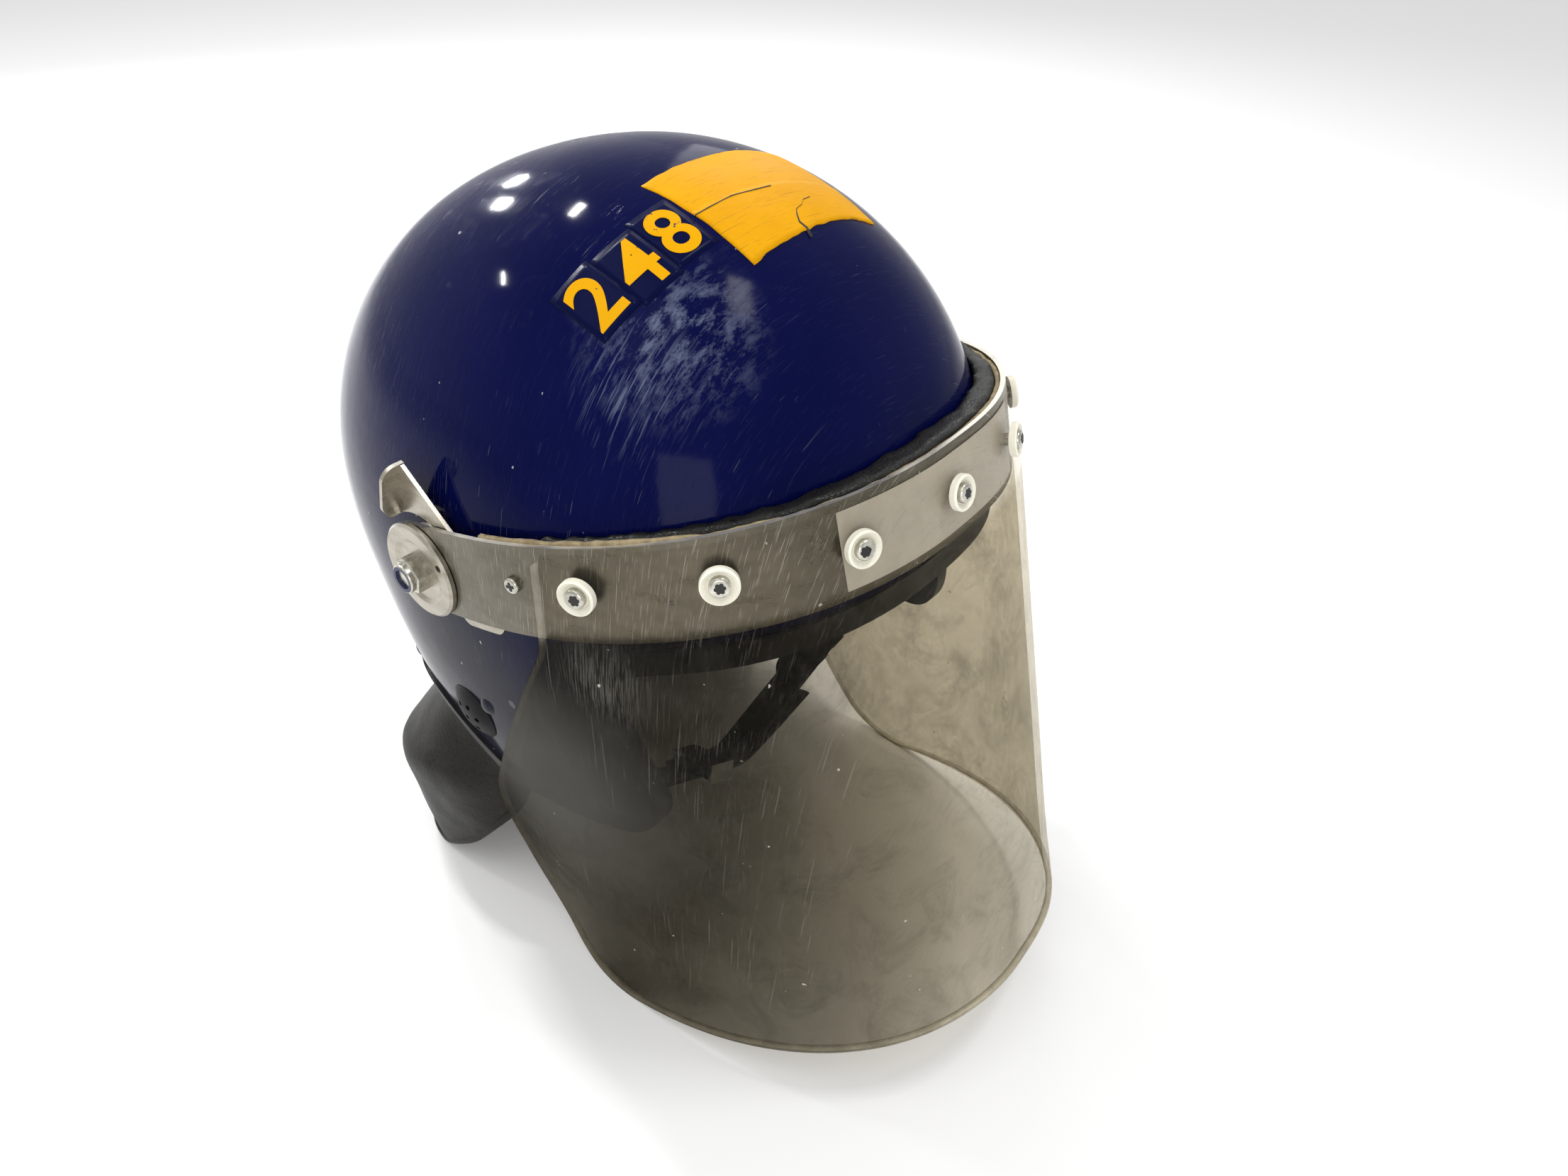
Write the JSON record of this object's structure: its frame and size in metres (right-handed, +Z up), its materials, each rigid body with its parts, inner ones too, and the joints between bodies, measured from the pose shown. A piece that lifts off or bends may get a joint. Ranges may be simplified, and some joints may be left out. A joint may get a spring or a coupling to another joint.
{
  "type": "riot helmet",
  "caption": "Hard domed helmet with a lobed clear visor hinged at the temples on a metal band, release levers, padding, chin strap and a flared neck guard.",
  "frame": {"origin": "on the floor, under the middle of the whole helmet as it stands on the lobes of its visor and on its neck guard", "axes": "+Z up, -Y the way the face looks, -X the side of the wearer's right ear; the helmet leans back by 16 degrees as it stands"},
  "size_m": [0.2702, 0.3838, 0.3511],
  "materials": {
    "shell_paint": "glossy dark navy paint over moulded fibre-reinforced plastic",
    "trim_rubber": "satin black",
    "liner_foam": "matt foam",
    "pad_fabric": "matt cloth over foam",
    "vent_plastic": "satin",
    "rivet_metal": "painted domed rivets",
    "guard_leather": "worn black leather",
    "strap_webbing": "woven webbing",
    "buckle_metal": "satin",
    "pivot_steel": "zinc plated",
    "band_aluminium": "satin, scuffed",
    "nylon_white": "white nylon",
    "nylon_blue": "blue nylon",
    "visor_clear": "clear polycarbonate, hazy and scratched",
    "label_white": "bare white reflective film"
  },
  "bodies": {
    "helmet": {"chin_pad": "pad_fabric", "chin_strap_left": "strap_webbing", "chin_strap_right": "strap_webbing", "cover_disc_left": "band_aluminium", "cover_disc_right": "band_aluminium", "crown_pad": "pad_fabric", "ear_pad_left": "pad_fabric", "ear_pad_right": "pad_fabric", "ear_vent_left": "vent_plastic", "ear_vent_right": "vent_plastic", "edge_trim": "trim_rubber", "energy_liner": "liner_foam", "guard_rivets": "rivet_metal", "head_band_pad": "pad_fabric", "lock_nut_left": "pivot_steel", "lock_nut_right": "pivot_steel", "neck_guard": "guard_leather", "nut_insert_left": "nylon_blue", "nut_insert_right": "nylon_blue", "pivot_bolt_left": "pivot_steel", "pivot_bolt_right": "pivot_steel", "pivot_boss_left": "band_aluminium", "pivot_boss_right": "band_aluminium", "pivot_washer_left": "nylon_white", "pivot_washer_right": "nylon_white", "shell": "shell_paint", "strap_buckle": "buckle_metal", "strap_rivets_left": "rivet_metal", "strap_rivets_right": "rivet_metal"},
    "visor": {"visor_band": "band_aluminium", "visor_sheet": "visor_clear", "label_plate": "label_white", "cup_washers": "nylon_white", "visor_screws": "pivot_steel", "visor_nuts": "pivot_steel", "seal_foam": "liner_foam", "brow_seal": "trim_rubber", "lever_screw_right": "pivot_steel", "lever_screw_left": "pivot_steel", "lever_spring_right": "pivot_steel", "lever_spring_left": "pivot_steel"},
    "release_right": {"lever_right": "band_aluminium"},
    "release_left": {"lever_left": "band_aluminium"}
  },
  "joints": [
    {"name": "visor_hinge", "type": "hinge", "parent": "helmet", "child": "visor", "pos_m": [0, 0.03303, 0.21774], "axis": [-1, 0, 0], "range_deg": [0, 95]},
    {"name": "release_lever_right", "type": "hinge", "parent": "visor", "child": "release_right", "pos_m": [-0.12233, -0.01933, 0.2365], "axis": [-0.986, -0.1603, 0.046], "range_deg": [0, 2.5], "stiffness_Nm_per_rad": 8.6, "springref_deg": -1.72},
    {"name": "release_lever_left", "type": "hinge", "parent": "visor", "child": "release_left", "pos_m": [0.12233, -0.01933, 0.2365], "axis": [-0.986, 0.1603, -0.046], "range_deg": [0, 2.5], "stiffness_Nm_per_rad": 8.6, "springref_deg": -1.72}
  ]
}
